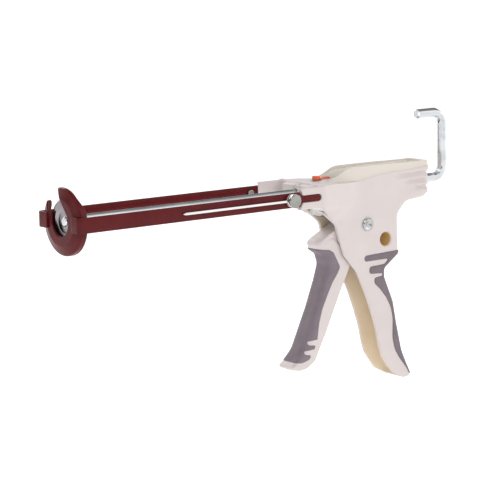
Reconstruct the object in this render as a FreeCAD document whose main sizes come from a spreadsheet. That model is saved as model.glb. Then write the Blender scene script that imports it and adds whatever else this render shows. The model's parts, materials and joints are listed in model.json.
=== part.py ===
"""Caulking gun: a two-rail cradle, a hooked hexagonal push rod and a trigger handle.

Millimetres. +X runs from the front plate back to the hook, +Z is up and the rod's axis is the X axis.
The origin is the point on that axis where the cartridge's front shoulder rests in the front plate.
The near side is -Y: it carries the puncture needle and the head of the pivot bolt.
"""
import FreeCAD, Part
import math
import os

Vector = FreeCAD.Vector

DIMENSIONS = [
    # cradle
    ("plate_radius", 28.7, "outside of the front plate's skirt"),
    ("sheet_steel", 1.6, "thickness of the front plate"),
    ("plate_depth", 6.0, "how far the skirt reaches back"),
    ("plate_bulge", 3.0, "how far the middle of the front plate stands forward"),
    ("notch_radius", 11.8, "nozzle notch"),
    ("notch_angle", 58.0, "far edge of the notch's mouth, up from +Y"),
    ("notch_near_angle", 51.0, "near edge of the notch's mouth, up from +Y"),
    ("rail_inside", 28.8, "inner face of each rail, from the axis"),
    ("rail_steel", 1.8, "thickness of each rail"),
    ("rail_half_height", 6.6, "half the height of each rail"),
    ("rail_fold", 11.0, "how far the near rail folds across the front plate"),
    ("far_rail_fold", 13.5, "how far the far rail folds across the front plate"),
    ("tongue_half_height", 3.0, "half the height of a rail's tongue"),
    ("tongue_end", 250.0, "rear end of a rail's tongue"),
    ("stud_place", 217.0, "where the studs pass through the rails"),
    ("stud_head_radius", 6.2, "large flat head"),
    ("stud_head_height", 2.8, "large flat head"),
    ("stud_shank_radius", 3.0, "shank through the rail"),
    ("collar_radius", 3.4, "collar that the needle's eye turns on"),
    # puncture needle
    ("wire_radius", 1.2, "needle wire"),
    ("needle_plane", 32.5, "the needle's centre plane, from the axis"),
    ("needle_tip", 102.0, "front end of the folded needle"),
    ("eye_radius", 4.72, "centre line of the needle's eye"),
    # push rod
    ("rod_across_corners", 9.238, "hexagonal bar, 8 mm across flats"),
    ("rod_front", 3.6, "front end of the bar"),
    ("hook_back", 421.0, "centre line of the hook's upright"),
    ("hook_top", 60.8, "centre line of the hook's upper arm"),
    ("hook_tip", 389.0, "end of the hook's upper arm"),
    ("hook_bend", 11.0, "bend radius of the centre line"),
    ("rod_clearance_radius", 4.7, "round hole that guides the bar"),
    ("push_plate_radius", 21.0, "dished plate that pushes the cartridge's piston"),
    ("push_plate_steel", 1.5, "thickness of the push plate"),
    # housing
    ("body_half_width", 13.8, "outer faces of the housing and of the cream part of the handle"),
    ("cavity_half_width", 9.8, "space for the mechanism"),
    ("channel_half_width", 11.4, "space that the trigger moves into"),
    ("ear_half_width", 31.0, "outer faces of the ears beside the rails"),
    ("ear_inside", 27.4, "inner faces of the ears"),
    ("ear_front", 225.0, "front edge of the ears"),
    ("ear_bottom", -9.5, "lower edge of the ears"),
    ("deck", 9.6, "top of the ears and of the deck between them"),
    ("deck_underside", 6.6, "ceiling of the cavity below the deck"),
    ("front_wall", 252.0, "front face of the cross wall"),
    ("front_wall_back", 258.0, "rear face of the cross wall"),
    ("rear_wall", 387.5, "front face of the rear wall"),
    ("body_back", 393.0, "rear face of the housing"),
    ("rubber", 0.9, "thickness of the grip rubber"),
    # trigger and mechanism
    ("pivot_place", 318.0, "trigger pivot, along the gun"),
    ("pivot_height", -33.0, "trigger pivot, below the rod"),
    ("pivot_radius", 3.0, "pivot bolt's shank"),
    ("bush_radius", 5.0, "bush between the bolt and the trigger"),
    ("lever_half_width", 9.2, "trigger inside the housing"),
    ("trigger_half_width", 10.4, "finger part of the trigger"),
    ("pad_half_width", 11.0, "rubber pad on the trigger"),
    ("roller_radius", 3.5, "drive roller"),
    ("roller_place", 311.85, "drive roller, along the gun"),
    ("roller_height", -11.5, "drive roller, below the rod"),
    ("jaw_steel", 3.0, "thickness of the drive and brake plates"),
    ("drive_plate_back", 308.0, "rear face of the drive plate"),
    ("brake_place", 270.0, "centre plane of the brake plate"),
    ("brake_pin_height", -13.5, "hinge pin of the brake plate"),
    ("brake_pin_radius", 1.5, "hinge pin of the brake plate"),
    ("cutter_hole_radius", 6.3, "round hole through the housing's sides"),
    ("cutter_hole_place", 340.0, "round hole, along the gun"),
    ("cutter_hole_height", -49.0, "round hole, below the rod"),
    ("sleeve_radius", 8.0, "tube that lines the round hole"),
    ("coil_radius", 6.6, "centre line of the two springs round the rod"),
]

doc = FreeCAD.newDocument("caulking_gun")
sheet = doc.addObject("Spreadsheet::Sheet", "Dimensions")
for row, (alias, value, meaning) in enumerate(DIMENSIONS, start=1):
    sheet.set(f"A{row}", meaning)
    sheet.set(f"B{row}", str(value))
    sheet.setAlias(f"B{row}", alias)
doc.recompute()

pieces = []


def size(alias):
    """The value of one driving dimension."""
    return float(getattr(sheet, alias))


def bind(obj, prop, formula):
    """Drive a property from the sheet: aliases in the formula are written as they are."""
    for alias, _, _ in DIMENSIONS:
        formula = formula.replace(f"<{alias}>", f"Dimensions.{alias}")
    obj.setExpression(prop, formula)


# ---------------------------------------------------------------- outlines

def rounded(points):
    """Edges of a closed outline. A point is (u, v) or (u, v, corner radius)."""
    corners = [Vector(p[0], p[1], 0) for p in points]
    radii = [p[2] if len(p) > 2 else 0.0 for p in points]
    count = len(points)
    ends = []
    arcs = []
    for i in range(count):
        corner = corners[i]
        back = corners[i - 1] - corner
        ahead = corners[(i + 1) % count] - corner
        turn = math.pi - back.getAngle(ahead)
        reach = radii[i] * math.tan(turn / 2)
        reach = min(reach, 0.49 * back.Length, 0.49 * ahead.Length)
        if reach < 1e-3:
            ends.append((corner, corner))
            arcs.append(None)
            continue
        radius = reach / math.tan(turn / 2)
        start = corner + back.normalize() * reach
        stop = corner + ahead.normalize() * reach
        inward = (start + stop) * 0.5 - corner
        centre = corner + inward.normalize() * math.hypot(reach, radius)
        middle = centre + (corner - centre).normalize() * radius
        ends.append((start, stop))
        arcs.append(Part.Arc(start, middle, stop))
    edges = []
    for i in range(count):
        if arcs[i]:
            edges.append(arcs[i])
        if (ends[(i + 1) % count][0] - ends[i][1]).Length > 1e-4:
            edges.append(Part.LineSegment(ends[i][1], ends[(i + 1) % count][0]))
    return edges


def circle(u, v, radius):
    return [Part.Circle(Vector(u, v, 0), Vector(0, 0, 1), radius)]


def rectangle(u0, v0, u1, v1):
    return rounded([(u0, v0), (u1, v0), (u1, v1), (u0, v1)])


# ---------------------------------------------------------------- features

def new_body(label):
    body = doc.addObject("PartDesign::Body", label)
    body.Label = label
    pieces.append(body)
    return body


def sketch(body, role, name, *outlines, shift=0.0):
    """A sketch on one of the body's own origin planes, moved along the plane's normal."""
    plane = next(f for f in body.Origin.OriginFeatures if f.Role == role)
    drawing = body.newObject("Sketcher::SketchObject", f"{body.Label}_{name}")
    drawing.AttachmentSupport = (plane, [""])
    drawing.MapMode = "FlatFace"
    drawing.AttachmentOffset = FreeCAD.Placement(Vector(0, 0, shift), FreeCAD.Rotation())
    for outline in outlines:
        drawing.addGeometry(outline, False)
    return drawing


def pad(body, drawing, length, both_ways=False, reverse=False):
    """Grow the sketch by a length given as a sheet formula."""
    feature = body.newObject("PartDesign::Pad", f"{drawing.Name}_pad")
    feature.Profile = drawing
    if both_ways:
        feature.SideType = "Symmetric"
    feature.Reversed = reverse
    bind(feature, "Length", length)
    doc.recompute()
    return feature


def pocket(body, drawing, length, both_ways=False, reverse=False):
    """Cut the sketch out by a length given as a sheet formula, and check that it cut something."""
    before = body.Shape.Volume
    feature = body.newObject("PartDesign::Pocket", f"{drawing.Name}_pocket")
    feature.Profile = drawing
    if both_ways:
        feature.SideType = "Symmetric"
    feature.Reversed = reverse
    bind(feature, "Length", length)
    doc.recompute()
    if body.Shape.Volume > before - 0.5:
        raise RuntimeError(f"{feature.Name} cut nothing")
    return feature


def revolution(body, drawing, axis="H_Axis"):
    feature = body.newObject("PartDesign::Revolution", f"{drawing.Name}_turned")
    feature.Profile = drawing
    feature.ReferenceAxis = (drawing, [axis])
    feature.Angle = 360
    doc.recompute()
    return feature


def cylinder(name, radius, length, at, direction):
    """A Part cylinder whose radius and length are sheet formulas."""
    rod = doc.addObject("Part::Cylinder", name)
    bind(rod, "Radius", radius)
    bind(rod, "Height", length)
    rod.Placement = FreeCAD.Placement(at, FreeCAD.Rotation(Vector(0, 0, 1), direction))
    return rod


def fused(label, parts):
    whole = doc.addObject("Part::MultiFuse", label)
    whole.Shapes = parts
    whole.Label = label
    pieces.append(whole)
    doc.recompute()
    return whole


# ---------------------------------------------------------------- cradle

def front_plate():
    body = new_body("front_plate")
    radius = size("plate_radius")
    steel = size("sheet_steel")
    depth = size("plate_depth")
    bulge = size("plate_bulge")
    plateau = 20.0
    profile = rounded([
        (-bulge, 0), (-bulge, plateau, 3), (0, radius, 2.4), (depth, radius),
        (depth, radius - steel), (steel, radius - steel, 1.2),
        (steel - bulge, plateau - 0.6, 2), (steel - bulge, 0)])
    revolution(body, sketch(body, "XZ_Plane", "profile", profile))
    relief = rounded([(10, 8), (depth, 11), (2.2, 22), (2.2, 40), (10, 40)])
    pocket(body, sketch(body, "XZ_Plane", "horn_relief", relief), "100", both_ways=True)
    notch = size("notch_radius")
    near_edge, far_edge = (Vector(math.cos(lean), math.sin(lean), 0) for lean in
                           (math.radians(size(n)) for n in ("notch_near_angle", "notch_angle")))
    left = Vector(-near_edge.y, near_edge.x, 0) * notch
    right = Vector(far_edge.y, -far_edge.x, 0) * notch
    mouth = [
        Part.Arc(left, (near_edge + far_edge).normalize() * -notch, right),
        Part.LineSegment(right, right + far_edge * 40),
        Part.LineSegment(right + far_edge * 40, left + near_edge * 40),
        Part.LineSegment(left + near_edge * 40, left)]
    pocket(body, sketch(body, "YZ_Plane", "notch", mouth), "40", both_ways=True)


def rail(label, near):
    """A steel strip with a tongue behind, folded over the front plate in front."""
    body = new_body(label)
    half = size("rail_half_height")
    tongue = size("tongue_half_height")
    end = size("tongue_end")
    front = -size("plate_bulge") - size("rail_steel") - 0.05
    inside = size("rail_inside")
    steel = size("rail_steel")
    fold_length = "rail_fold" if near else "far_rail_fold"
    shoulder = size("stud_place") + 10
    side = rounded([
        (front, -half, 1), (shoulder, -half, 1.5), (shoulder + 2, -tongue, 1), (end, -tongue, tongue),
        (end, tongue, tongue), (shoulder + 2, tongue, 1), (shoulder, half, 1.5), (front, half, 1)])
    start = inside if near else -inside - steel
    strip = sketch(body, "XZ_Plane", "strip", side, shift=start)
    pad(body, strip, "<rail_steel>")
    tab = rectangle(front, -half, front + steel, half)
    start = inside + steel - size(fold_length) if near else -inside - steel
    pad(body, sketch(body, "XZ_Plane", "fold", tab, shift=start), f"<{fold_length}>")
    hole = circle(size("stud_place"), 0, size("stud_shank_radius") + 0.05)
    pocket(body, sketch(body, "XZ_Plane", "hole", hole), "100", both_ways=True)


def rail_studs():
    """A stud through each rail; the near one has a collar for the needle's eye."""
    place = size("stud_place")
    outside = size("rail_inside") + size("rail_steel")
    inner_end = size("rail_inside") - 2.4
    near_head = size("needle_plane") + size("wire_radius") + 0.3
    solids = []
    for name, sign, head in (("near", -1, near_head), ("far", 1, outside + 0.02)):
        out = Vector(0, sign, 0)
        solids += [
            cylinder(f"{name}_shank", "<stud_shank_radius>", str(head - inner_end),
                     Vector(place, sign * inner_end, 0), out),
            cylinder(f"{name}_head", "<stud_head_radius>", "<stud_head_height>",
                     Vector(place, sign * head, 0), out),
            cylinder(f"{name}_rivet", "<stud_shank_radius> + 0.6", "2.3",
                     Vector(place, sign * inner_end, 0), out)]
    solids.append(cylinder("near_collar", "<collar_radius>", str(near_head - outside - 0.02),
                           Vector(place, -outside - 0.02, 0), Vector(0, -1, 0)))
    fused("rail_studs", solids)


def needle_washer():
    body = new_body("needle_washer")
    rings = [circle(size("stud_place"), 0, 5.9), circle(size("stud_place"), 0, size("collar_radius") + 0.1)]
    face = size("rail_inside") + size("rail_steel") + 0.03
    pad(body, sketch(body, "XZ_Plane", "ring", *rings, shift=face), "0.5")


def puncture_needle():
    """A wire folded forward along the near rail, with an eye round the near stud."""
    place = size("stud_place")
    plane = size("needle_plane")
    eye = doc.addObject("Part::Torus", "needle_eye")
    bind(eye, "Radius1", "<eye_radius>")
    bind(eye, "Radius2", "<wire_radius>")
    eye.Placement = FreeCAD.Placement(
        Vector(place, -plane, 0), FreeCAD.Rotation(Vector(0, 0, 1), Vector(0, 1, 0)))
    wire = cylinder("needle_wire", "<wire_radius>", "<stud_place> - <eye_radius> - <needle_tip> + 0.4",
                    Vector(size("needle_tip"), -plane, 0), Vector(1, 0, 0))
    point = doc.addObject("Part::Cone", "needle_point")
    bind(point, "Radius1", "<wire_radius>")
    bind(point, "Radius2", "<wire_radius> * 0.4")
    point.Height = 3
    point.Placement = FreeCAD.Placement(
        Vector(size("needle_tip"), -plane, 0), FreeCAD.Rotation(Vector(0, 0, 1), Vector(-1, 0, 0)))
    fused("puncture_needle", [eye, wire, point])


# ---------------------------------------------------------------- push rod

def push_rod():
    """A hexagonal bar bent up and forward into a hook at its rear end."""
    hexagon = doc.addObject("Part::RegularPolygon", "bar_section")
    hexagon.Polygon = 6
    bind(hexagon, "Circumradius", "<rod_across_corners> / 2")
    front = Vector(size("rod_front"), 0, 0)
    hexagon.Placement = FreeCAD.Placement(front, FreeCAD.Rotation(Vector(0, 0, 1), Vector(1, 0, 0)))
    back, top, tip, bend = (size(n) for n in ("hook_back", "hook_top", "hook_tip", "hook_bend"))
    slant = bend * math.sqrt(0.5)
    lower, upper = Vector(back - bend, 0, bend), Vector(back - bend, 0, top - bend)
    corners = [
        (Vector(back - bend, 0, 0), lower + Vector(slant, 0, -slant), Vector(back, 0, bend)),
        (Vector(back, 0, top - bend), upper + Vector(slant, 0, slant), Vector(back - bend, 0, top))]
    edges = [
        Part.LineSegment(front, corners[0][0]), Part.Arc(*corners[0]),
        Part.LineSegment(corners[0][2], corners[1][0]), Part.Arc(*corners[1]),
        Part.LineSegment(corners[1][2], Vector(tip, 0, top))]
    spine = doc.addObject("Part::Feature", "bar_path")
    spine.Shape = Part.Wire([edge.toShape() for edge in edges])
    bar = doc.addObject("Part::Sweep", "push_rod")
    bar.Sections = [hexagon]
    bar.Spine = (spine, [f"Edge{i}" for i in range(1, 6)])
    bar.Solid = True
    bar.Frenet = False
    bar.Label = "push_rod"
    pieces.append(bar)
    doc.recompute()


def push_plate():
    body = new_body("push_plate")
    steel = size("push_plate_steel")
    radius = size("push_plate_radius")
    face = size("rod_front") - steel
    profile = rounded([
        (face, 3.05), (face, 10, 3), (face - 1.2, 13, 3), (face - 1.2, radius - 2, 2), (face + 3, radius, 1),
        (face + 3, radius - steel), (face + 0.3, radius - 3, 1), (face + 0.3, 13.6, 1),
        (face + steel, 10.4, 2), (face + steel, 3.05)])
    revolution(body, sketch(body, "XZ_Plane", "profile", profile))


def plate_rivet():
    body = new_body("plate_rivet")
    face = size("rod_front") - size("push_plate_steel")
    head = rounded([(face - 1.3, 0), (face - 1.3, 3.3, 0.6), (face - 0.05, 4.4, 0.4), (face - 0.05, 3),
                    (size("rod_front") - 0.05, 3), (size("rod_front") - 0.05, 0)])
    revolution(body, sketch(body, "XZ_Plane", "profile", head))


def plate_washer():
    body = new_body("plate_washer")
    rings = [circle(0, 0, 9.5), circle(0, 0, size("rod_clearance_radius"))]
    pad(body, sketch(body, "YZ_Plane", "ring", *rings, shift=size("rod_front") + 0.05), "1.5")


# ---------------------------------------------------------------- housing

HANDLE_BACK = [(356, -59, 3), (355, -64, 4), (338, -76, 5), (338, -84, 6), (348.3, -107.5, 20),
               (352.4, -128, 30), (358.8, -155, 30), (370.6, -181, 2), (362, -181.8, 2)]
HANDLE_FRONT = [(347.5, -174.2, 6), (335.2, -158, 12), (331.5, -146, 20), (328.3, -132, 30),
                (322.5, -115, 30), (315.5, -97.5, 30), (304.5, -75, 20)]
CHANNEL_BACK = [(333, -76, 4), (333.5, -85, 5), (343, -109, 20), (347, -129, 30), (353.5, -156, 30),
                (362.5, -176.5, 3), (352, -186)]


def body_housing():
    """One moulding: ears for the rails, a trough on top and a channel down the handle."""
    body = new_body("body_housing")
    deck = size("deck")
    wall = size("front_wall")
    back = size("body_back")
    side = rounded(
        [(wall, deck), (272, deck, 14), (297, 20, 14), (back, 20, 4), (back, -10.5, 2),
         (387, -14.5, 4), (366, -16.5, 12), (355, -27, 10)]
        + HANDLE_BACK + HANDLE_FRONT
        + [(290, -59, 10), (285.5, -46, 12), (281.5, -30.5, 9), (268, -19.5, 6), (wall, -11, 3)])
    pad(body, sketch(body, "XZ_Plane", "side", side), "2 * <body_half_width>", both_ways=True)

    ear = size("ear_half_width")
    narrow = size("body_half_width")
    ears = rounded([
        (size("ear_front"), -ear, 1), (wall, -ear, 20), (308, -narrow), (308, narrow), (wall, ear, 20),
        (size("ear_front"), ear, 1)])
    pad(body, sketch(body, "XY_Plane", "ears", ears, shift=size("ear_bottom")), "<deck> - <ear_bottom>")

    gap = size("ear_inside")
    between = rectangle(size("ear_front") - 5, -gap, wall, gap)
    pocket(body, sketch(body, "XY_Plane", "between_ears", between), "80", both_ways=True)
    bay = size("front_wall_back") - 2.5
    taper = (ear - narrow) / (308 - wall)
    outer = ear - 3.2
    for sign in (-1, 1):
        hollow = rounded([
            (bay, sign * narrow), (bay, sign * (outer - taper * (bay - wall))),
            (288, sign * (outer - taper * (288 - wall))), (288, sign * narrow)])
        name = f"hollow_{'near' if sign < 0 else 'far'}"
        under = sketch(body, "XY_Plane", name, hollow, shift=size("ear_bottom"))
        pocket(body, under, "<deck_underside> - <ear_bottom>", reverse=True)

    tongue = size("tongue_half_height") + 0.15
    groove = rounded([
        (size("ear_front") - 5, -tongue), (size("tongue_end") + 0.3, -tongue, tongue),
        (size("tongue_end") + 0.3, tongue, tongue), (size("ear_front") - 5, tongue)])
    face = size("rail_inside") - 0.1
    for name, shift, outwards in (("near", face, True), ("far", -face, False)):
        relief = circle(size("stud_place"), 0, 12.6)
        pocket(body, sketch(body, "XZ_Plane", f"{name}_stud_relief", relief, shift=shift), "10", reverse=outwards)
        pocket(body, sketch(body, "XZ_Plane", f"{name}_groove", groove, shift=shift), "10", reverse=outwards)

    ceiling = size("deck_underside")
    wall_back = size("front_wall_back")
    rear = size("rear_wall")
    cavity = rounded(
        [(wall_back, ceiling), (271, ceiling), (271, 7.9), (275, 7.9), (275, 30), (rear, 30), (rear, -9, 2), (363, -12.3, 8),
         (350.5, -25, 8), (350.5, -61, 4)]
        + CHANNEL_BACK + [(200, -186), (200, -12), (wall_back, -12)])
    pocket(body, sketch(body, "XZ_Plane", "cavity", cavity), "2 * <cavity_half_width>", both_ways=True)
    channel = rounded([(200, -46), (349, -46), (349, -61, 4)] + CHANNEL_BACK + [(200, -186)])
    pocket(body, sketch(body, "XZ_Plane", "channel", channel), "2 * <channel_half_width>", both_ways=True)

    boss = rounded([(-21.5, -9.2, 3), (21.5, -9.2, 3), (21.5, 8.2, 3), (-21.5, 8.2, 3)])
    pad(body, sketch(body, "YZ_Plane", "boss", boss, shift=wall - 5.5), "6.5")
    sleeve = circle(size("cutter_hole_place"), size("cutter_hole_height"), size("sleeve_radius"))
    pad(body, sketch(body, "XZ_Plane", "sleeve", sleeve), "2 * <body_half_width>", both_ways=True)
    front_hole = sketch(body, "YZ_Plane", "front_hole", circle(0, 0, 8), shift=255)
    pocket(body, front_hole, "20", both_ways=True)
    rear_hole = sketch(body, "YZ_Plane", "rear_hole", circle(0, 0, 7), shift=390)
    pocket(body, rear_hole, "20", both_ways=True)
    slot = sketch(body, "XY_Plane", "tab_slot", rectangle(264.5, -3.1, 273.2, 3.1), shift=10)
    pocket(body, slot, "16", both_ways=True)
    holes = [
        circle(size("pivot_place"), size("pivot_height"), size("pivot_radius") + 0.05),
        circle(size("brake_place"), size("brake_pin_height"), size("brake_pin_radius")),
        circle(size("cutter_hole_place"), size("cutter_hole_height"), size("cutter_hole_radius"))]
    pocket(body, sketch(body, "XZ_Plane", "side_holes", *holes), "80", both_ways=True)
    grooves = [rounded([(start, z - 0.5, 0.4), (back + 2, z - 0.5), (back + 2, z + 0.5), (start, z + 0.5, 0.4)])
               for start, z in ((360, 9), (366, 2.5), (374, -4))]
    for name, shift, flip in (("near", narrow - 0.5, True), ("far", 0.5 - narrow, False)):
        lines = sketch(body, "XZ_Plane", f"{name}_finger_lines", *grooves, shift=shift)
        pocket(body, lines, "5", reverse=flip)


def grip_overmould():
    """Rubber skin: two bands and a long tail, joined along the back of the handle."""
    body = new_body("grip_overmould")
    skin = size("rubber")
    back = [(356 + skin, -60, 3), (355.8 + skin, -64.5, 4), (338 + skin, -76.5, 5), (338 + skin, -84, 6),
            (348.3 + skin, -107.3, 20), (352.4 + skin, -128, 30), (358.8 + skin, -155, 30),
            (370.2 + skin, -180.6, 2)]
    bands = [(366.5, -174, 4), (356.5, -162.5, 20), (349, -148, 20), (348, -124, 20), (341, -103.5, 20),
             (331, -91, 8), (326, -88.5, 2.5), (326, -83, 2.5), (335.5, -82.2, 0.8), (335.5, -80.4, 0.8),
             (320, -79.2, 3), (320, -72.4, 3), (337, -72.2, 1), (343.5, -67.6, 1), (313, -67.8, 2.8),
             (313, -61.6, 2.8)]
    rubber = sketch(body, "XZ_Plane", "rubber", rounded(back + bands))
    pad(body, rubber, "2 * (<body_half_width> + <rubber>)", both_ways=True)
    handle = rounded([(295, -59)] + HANDLE_BACK + HANDLE_FRONT)
    pocket(body, sketch(body, "XZ_Plane", "handle", handle), "2 * <body_half_width>", both_ways=True)


def guide_bush(label, start, radius, length):
    """A flanged ring that guides the bar in a wall of the housing."""
    body = new_body(label)
    rings = [circle(0, 0, radius), circle(0, 0, size("rod_clearance_radius"))]
    pad(body, sketch(body, "YZ_Plane", "ring", *rings, shift=start), length)


# ---------------------------------------------------------------- trigger

TRIGGER_BACK = [(290, -90, 20), (271, -130, 30), (259, -152, 7), (250, -157.5, 8), (242, -159.3, 8),
                (233, -157.5, 2)]
TRIGGER_FRONT = [(232, -154.5, 1.5), (237.5, -150.5, 3), (245.8, -139.5, 12), (261.8, -105, 40),
                 (270.8, -82, 20), (275.6, -67, 8), (272.5, -57.5, 5), (265, -52.6, 3), (262.8, -47, 3),
                 (266, -42.4, 4)]
FINGERS = [(300, -58, 4), (303, -66, 12)] + TRIGGER_BACK + TRIGGER_FRONT + [(281, -43, 3)]


def trigger_lever():
    """A lever with a forked upper arm, a hub on the pivot and a finger part below."""
    body = new_body("trigger_lever")
    tip = size("roller_place")
    outline = rounded(
        [(tip - 2.6, -9.0, 2.4), (tip + 2.8, -9.0, 2.4), (329, -28, 8), (328, -43, 8), (303, -66, 12)]
        + TRIGGER_BACK + TRIGGER_FRONT
        + [(286, -34.5, 8), (303, -24.5, 8), (tip - 2.6, -17, 4)])
    pad(body, sketch(body, "XZ_Plane", "lever", outline), "2 * <lever_half_width>", both_ways=True)
    pad(body, sketch(body, "XZ_Plane", "fingers", rounded(FINGERS)), "2 * <trigger_half_width>", both_ways=True)
    fork = rectangle(298, -41, 332, 0)
    pocket(body, sketch(body, "XZ_Plane", "fork", fork), "10.4", both_ways=True)
    holes = [
        circle(size("pivot_place"), size("pivot_height"), size("bush_radius") + 0.05),
        circle(tip, size("roller_height"), 1.3)]
    pocket(body, sketch(body, "XZ_Plane", "holes", *holes), "40", both_ways=True)
    hollow = rounded([
        (330, -28), (330, -46), (305, -70), (296, -88, 10), (276, -130, 20), (265, -149), (262, -146),
        (266, -130, 20), (284, -90, 10), (290, -68, 8), (306, -50, 6), (322, -45)])
    pocket(body, sketch(body, "XZ_Plane", "hollow", hollow), "13", both_ways=True)


def trigger_pad():
    """Rubber that wraps the front of the trigger's finger part."""
    body = new_body("trigger_pad")
    outline = rounded(
        [(262.2, -50.8, 1), (276, -52.3, 2), (281, -55.4, 3), (288.4, -69.4, 4), (279.2, -83, 10),
         (267.3, -106, 20), (263.5, -118, 20), (260, -138, 3), (253, -149.5, 3), (243, -152.4, 4),
         (233.4, -152.4, 0.5), (244.8, -140.2, 12), (260.8, -105.4, 40), (269.8, -82.4, 20), (274.4, -67, 8),
         (271.4, -58.2, 5), (263.4, -53.2, 2)])
    pad(body, sketch(body, "XZ_Plane", "rubber", outline), "2 * <pad_half_width>", both_ways=True)
    pocket(body, sketch(body, "XZ_Plane", "lever", rounded(FINGERS)), "2 * <trigger_half_width>", both_ways=True)


def drive_roller():
    body = new_body("drive_roller")
    rings = [circle(size("roller_place"), size("roller_height"), size("roller_radius")),
             circle(size("roller_place"), size("roller_height"), 1.36)]
    pad(body, sketch(body, "XZ_Plane", "ring", *rings), "9.8", both_ways=True)


def cross_pin(label, place, height, radius, length):
    """A plain pin across the gun."""
    body = new_body(label)
    pad(body, sketch(body, "XZ_Plane", "round", circle(place, height, radius)), length, both_ways=True)


def pivot_hardware():
    """The trigger's bolt, its bush and the nut on the far side."""
    place, height = size("pivot_place"), size("pivot_height")
    outside = size("body_half_width")
    bolt = new_body("pivot_bolt")
    shank = sketch(bolt, "XZ_Plane", "shank", circle(place, height, size("pivot_radius")), shift=outside + 1)
    pad(bolt, shank, "2 * <body_half_width> + 5", reverse=True)
    head = sketch(bolt, "XZ_Plane", "head", circle(place, height, 6), shift=outside + 0.02)
    head_pad = pad(bolt, head, "2.6")
    rim = [f"Edge{i}" for i, edge in enumerate(bolt.Shape.Edges, start=1)
           if edge.Curve.TypeId == "Part::GeomCircle" and abs(edge.Curve.Radius - 6) < 1e-6
           and edge.Curve.Center.y < -outside - 1]
    dome = bolt.newObject("PartDesign::Fillet", "pivot_bolt_dome")
    dome.Base = (head_pad, rim)
    dome.Radius = 1.9
    bolt.Tip = dome
    doc.recompute()
    socket = rounded([(place + 2 * math.cos(i * math.pi / 3), height + 2 * math.sin(i * math.pi / 3))
                      for i in range(6)])
    pocket(bolt, sketch(bolt, "XZ_Plane", "socket", socket, shift=outside + 1), "3", reverse=True)

    bush = new_body("pivot_bush")
    rings = [circle(place, height, size("bush_radius")), circle(place, height, size("pivot_radius") + 0.02)]
    pad(bush, sketch(bush, "XZ_Plane", "ring", *rings), "2 * <cavity_half_width> - 0.4", both_ways=True)

    nut = new_body("pivot_nut")
    hexagon = rounded([(place + 5.6 * math.cos(i * math.pi / 3), height + 5.6 * math.sin(i * math.pi / 3))
                       for i in range(6)])
    bore = circle(place, height, size("pivot_radius") + 0.02)
    pad(nut, sketch(nut, "XZ_Plane", "hexagon", hexagon, bore, shift=-outside - 4.02), "4")


def coil_spring(label, start, length, turns, wire):
    """A coil spring round the rod, from a helix and a round section."""
    radius = size("coil_radius")
    pitch = (length - 2 * wire) / turns
    helix = Part.makeHelix(pitch, pitch * turns, radius)
    section = Part.Wire([Part.makeCircle(wire, Vector(radius, 0, 0), Vector(0, 1, 0))])
    shape = Part.Wire(helix.Edges).makePipeShell([section], True, True)
    spring = doc.addObject("Part::Feature", label)
    spring.Shape = shape
    spring.Placement = FreeCAD.Placement(
        Vector(start + wire, 0, 0), FreeCAD.Rotation(Vector(0, 0, 1), Vector(1, 0, 0)))
    spring.Label = label
    pieces.append(spring)


def torsion_spring():
    """The trigger's return spring: a coil round the pivot bush and a leg forward to the housing."""
    wire = 0.8
    width = 8.0
    reach = size("bush_radius") + 0.2 + wire
    place, height = size("pivot_place"), size("pivot_height")
    helix = Part.makeHelix(2.0, width, reach)
    section = Part.Wire([Part.makeCircle(wire, Vector(reach, 0, 0), Vector(0, 1, 0))])
    coil = Part.Wire(helix.Edges).makePipeShell([section], True, True)
    coil.Placement = FreeCAD.Placement(
        Vector(place, width / 2, height), FreeCAD.Rotation(Vector(0, 0, 1), Vector(0, -1, 0)))
    anchor = Vector(272.5, 3.0, -22.5)
    touch = Vector(place - 1.5, 3.0, height + reach - 0.3)
    leg = Part.makeCylinder(wire, (touch - anchor).Length, anchor, touch - anchor)
    spring = doc.addObject("Part::Feature", "trigger_spring")
    spring.Shape = coil.fuse(leg)
    spring.Label = "trigger_spring"
    pieces.append(spring)


# ---------------------------------------------------------------- grip of the rod

def jaw(label, centre, bottom, top, hole):
    """A flat steel plate round the rod."""
    body = new_body(label)
    plate = rounded([(-8.4, bottom, 2), (8.4, bottom, 2), (8.4, top, 2), (-8.4, top, 2)])
    start = centre - size("jaw_steel") / 2
    pad(body, sketch(body, "YZ_Plane", "plate", plate, circle(0, 0, hole), shift=start), "<jaw_steel>")
    return body


def brake_plate():
    body = jaw("brake_plate", size("brake_place"), -21.5, 6.0, 5.3)
    place = size("brake_place")
    stem = rectangle(-2.4, 5.0, 2.4, 12.5)
    pad(body, sketch(body, "YZ_Plane", "stem", stem, shift=place - 1.0), "2")
    hole = circle(place, size("brake_pin_height"), size("brake_pin_radius") + 0.06)
    lug = rectangle(place - 2.9, size("brake_pin_height") - 3, place + 2.9, size("brake_pin_height") + 3)
    pad(body, sketch(body, "XZ_Plane", "lug", lug), "10", both_ways=True)
    pocket(body, sketch(body, "XZ_Plane", "hinge", hole), "40", both_ways=True)


def release_tab():
    """The cap that the thumb presses, on top of the brake plate."""
    body = new_body("release_tab")
    place = size("brake_place")
    side = rounded([(place - 3.5, 10.3, 0.8), (place + 1.8, 10.3, 0.6), (place + 2.2, 10.9, 0.3),
                    (place + 13.4, 10.9, 0.4), (place + 13.4, 12.6, 0.6), (place + 8.2, 12.6, 0.6),
                    (place + 7.8, 11.5, 0.3), (place + 2.4, 11.5, 0.6), (place + 1.8, 14, 1),
                    (place - 3, 14.4, 1)])
    pad(body, sketch(body, "XZ_Plane", "side", side), "6.4", both_ways=True)
    stem = rectangle(place - 1.05, 9, place + 1.05, 12.6)
    pocket(body, sketch(body, "XZ_Plane", "stem", stem), "4.9", both_ways=True)


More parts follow.
